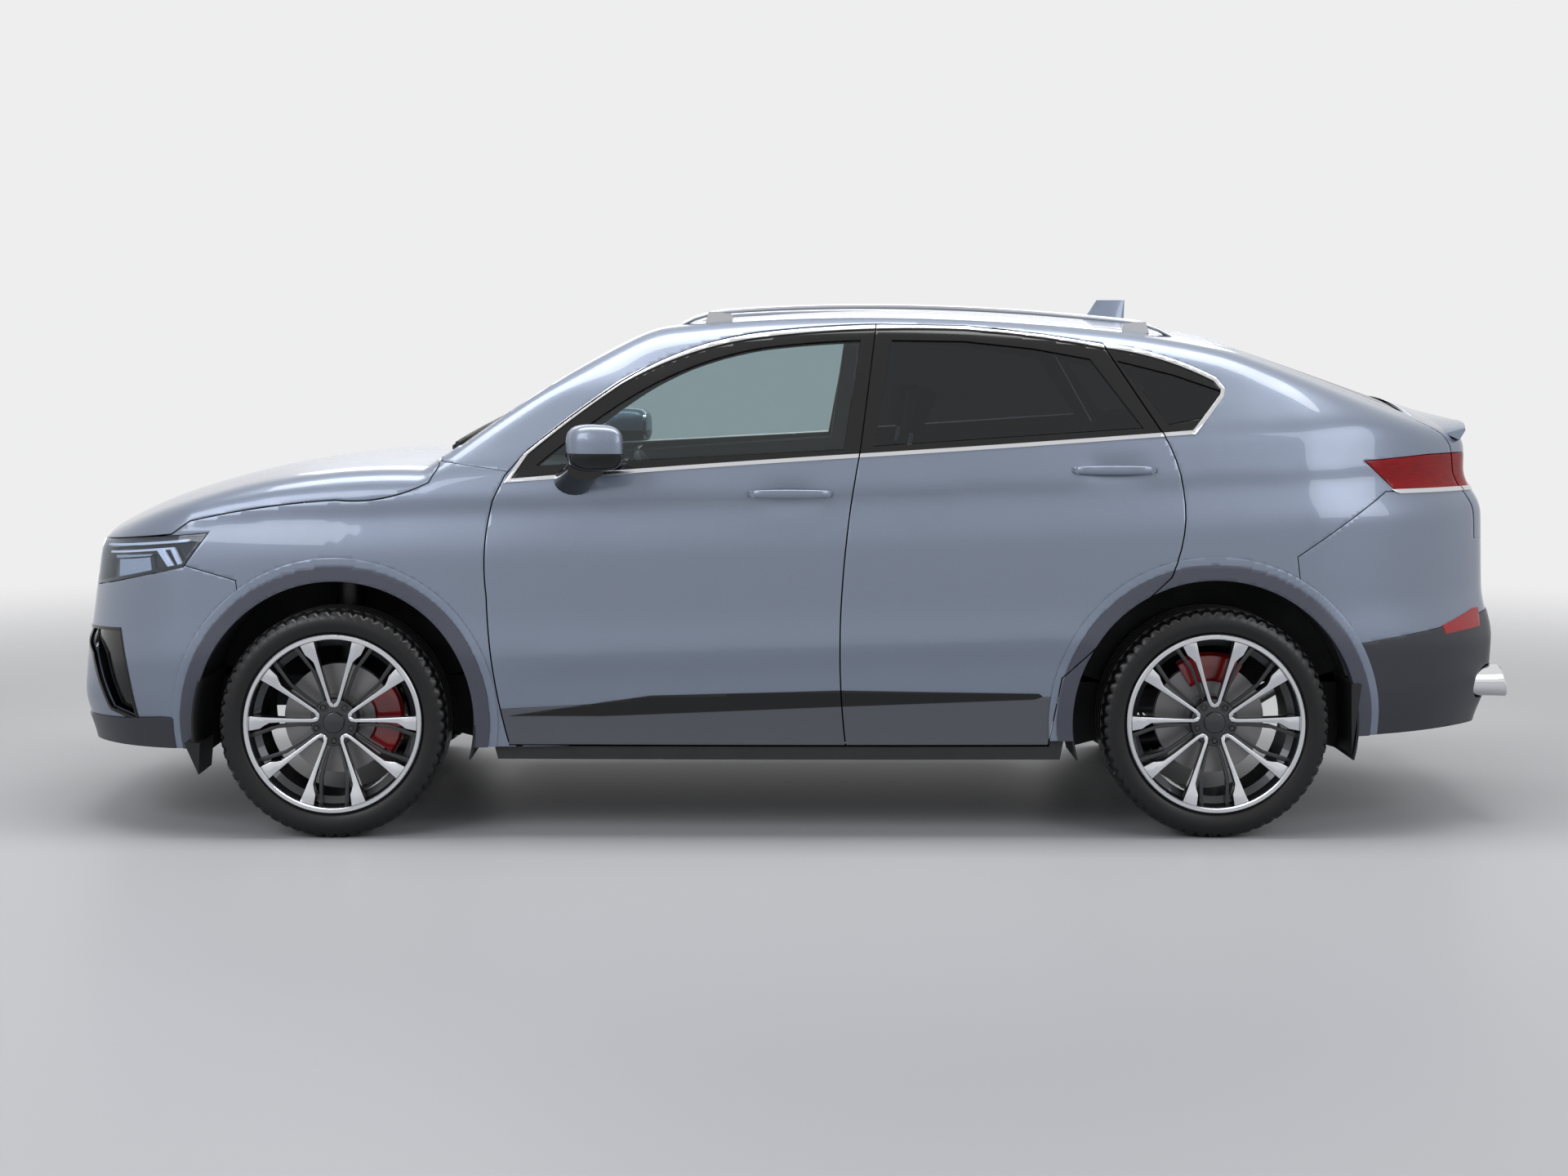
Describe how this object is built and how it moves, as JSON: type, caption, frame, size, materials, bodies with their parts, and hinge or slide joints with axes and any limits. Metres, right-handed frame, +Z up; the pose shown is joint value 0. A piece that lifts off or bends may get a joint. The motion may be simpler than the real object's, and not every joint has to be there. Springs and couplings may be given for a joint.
{
  "type": "coupe sport utility vehicle",
  "caption": "Five-door coupe sport utility vehicle with opening doors, bonnet and tailgate, steered front wheels and rolling wheels on alloy rims.",
  "frame": {"origin": "on the ground, under the middle of the length", "axes": "+X to the front, +Y to the left, +Z up"},
  "size_m": [4.597, 2.156, 1.6618],
  "materials": {
    "body_paint": "metallic clear coat",
    "sealed_steel": "primer",
    "satin_cladding": "moulded",
    "black_plastic": "moulded",
    "gloss_black": "gloss",
    "lamp_lens": "clear lens",
    "red_lens": "lens",
    "clear_glass": "clear",
    "tinted_glass": "tinted",
    "chrome_trim": "polished",
    "satin_aluminium": "satin",
    "machined_alloy": "machined",
    "cast_metal": "cast",
    "tyre_rubber": "moulded",
    "seat_leather": "grained",
    "soft_trim": "grained"
  },
  "bodies": {
    "root": {"body_sides": "body_paint", "pillars": "sealed_steel", "roof": "body_paint", "front_fenders": "body_paint", "front_bumper": "body_paint", "rear_bumper": "body_paint", "front_valance": "satin_cladding", "rear_valance": "satin_cladding", "arch_trim": "satin_cladding", "grille": "gloss_black", "headlamps": "lamp_lens", "tail_lamps": "red_lens", "windscreen": "clear_glass", "quarter_glass": "tinted_glass", "cowl": "black_plastic", "roof_rails": "satin_aluminium", "wheel_liners": "black_plastic", "floor_pan": "sealed_steel", "engine": "cast_metal", "exhaust": "chrome_trim", "front_subframe": "cast_metal", "rear_axle": "cast_metal", "rear_seat": "seat_leather", "dashboard": "soft_trim", "front_seat_left": "seat_leather", "front_seat_right": "seat_leather"},
    "bonnet": {"bonnet": "body_paint"},
    "tailgate": {"tailgate": "body_paint", "tailgate_lamps": "red_lens", "tailgate_glass": "tinted_glass"},
    "steering_wheel": {"steering_wheel": "seat_leather"},
    "door_front_left": {"door_front_left": "body_paint", "door_glass_front_left": "clear_glass", "mirror_left": "body_paint"},
    "door_rear_left": {"door_rear_left": "body_paint", "door_glass_rear_left": "tinted_glass"},
    "knuckle_left": {"knuckle_left": "cast_metal"},
    "wheel_front_left": {"wheel_front_left": "machined_alloy", "tyre_front_left": "tyre_rubber"},
    "wheel_rear_left": {"wheel_rear_left": "machined_alloy", "tyre_rear_left": "tyre_rubber"},
    "door_front_right": {"door_front_right": "body_paint", "door_glass_front_right": "clear_glass", "mirror_right": "body_paint"},
    "door_rear_right": {"door_rear_right": "body_paint", "door_glass_rear_right": "tinted_glass"},
    "knuckle_right": {"knuckle_right": "cast_metal"},
    "wheel_front_right": {"wheel_front_right": "machined_alloy", "tyre_front_right": "tyre_rubber"},
    "wheel_rear_right": {"wheel_rear_right": "machined_alloy", "tyre_rear_right": "tyre_rubber"}
  },
  "joints": [
    {"name": "bonnet_hinge", "type": "hinge", "parent": "root", "child": "bonnet", "pos_m": [1.087, 0, 1.1567], "axis": [0, -1, 0], "range_deg": [0, 50]},
    {"name": "tailgate_hinge", "type": "hinge", "parent": "root", "child": "tailgate", "pos_m": [-1.3775, 0, 1.5452], "axis": [0, 1, 0], "range_deg": [0, 72]},
    {"name": "steering_wheel_turn", "type": "hinge", "parent": "root", "child": "steering_wheel", "pos_m": [0.4093, 0.375, 0.9858], "axis": [-0.9063, 0, 0.4226], "range_deg": [-480, 480]},
    {"name": "door_front_left_hinge", "type": "hinge", "parent": "root", "child": "door_front_left", "pos_m": [0.9331, 0.921, 0.6], "axis": [0, 0, -1], "range_deg": [0, 65]},
    {"name": "door_rear_left_hinge", "type": "hinge", "parent": "root", "child": "door_rear_left", "pos_m": [-0.159, 0.921, 0.6], "axis": [0, 0, -1], "range_deg": [0, 65]},
    {"name": "steer_left", "type": "hinge", "parent": "root", "child": "knuckle_left", "pos_m": [1.3975, 0.727, 0.35], "axis": [0, 0, 1], "range_deg": [-32, 32]},
    {"name": "wheel_front_left_roll", "type": "hinge", "parent": "knuckle_left", "child": "wheel_front_left", "pos_m": [1.3975, 0.8, 0.35], "axis": [0, 1, 0], "continuous": true},
    {"name": "wheel_rear_left_roll", "type": "hinge", "parent": "root", "child": "wheel_rear_left", "pos_m": [-1.3025, 0.8, 0.35], "axis": [0, 1, 0], "continuous": true},
    {"name": "door_front_right_hinge", "type": "hinge", "parent": "root", "child": "door_front_right", "pos_m": [0.9331, -0.921, 0.6], "axis": [0, 0, 1], "range_deg": [0, 65]},
    {"name": "door_rear_right_hinge", "type": "hinge", "parent": "root", "child": "door_rear_right", "pos_m": [-0.159, -0.921, 0.6], "axis": [0, 0, 1], "range_deg": [0, 65]},
    {"name": "steer_right", "type": "hinge", "parent": "root", "child": "knuckle_right", "pos_m": [1.3975, -0.727, 0.35], "axis": [0, 0, 1], "range_deg": [-32, 32]},
    {"name": "wheel_front_right_roll", "type": "hinge", "parent": "knuckle_right", "child": "wheel_front_right", "pos_m": [1.3975, -0.8, 0.35], "axis": [0, 1, 0], "continuous": true},
    {"name": "wheel_rear_right_roll", "type": "hinge", "parent": "root", "child": "wheel_rear_right", "pos_m": [-1.3025, -0.8, 0.35], "axis": [0, 1, 0], "continuous": true}
  ],
  "couplings": [
    {"joint": "steer_right", "follows": "steer_left", "ratio": 1},
    {"joint": "steering_wheel_turn", "follows": "steer_left", "ratio": 14}
  ]
}
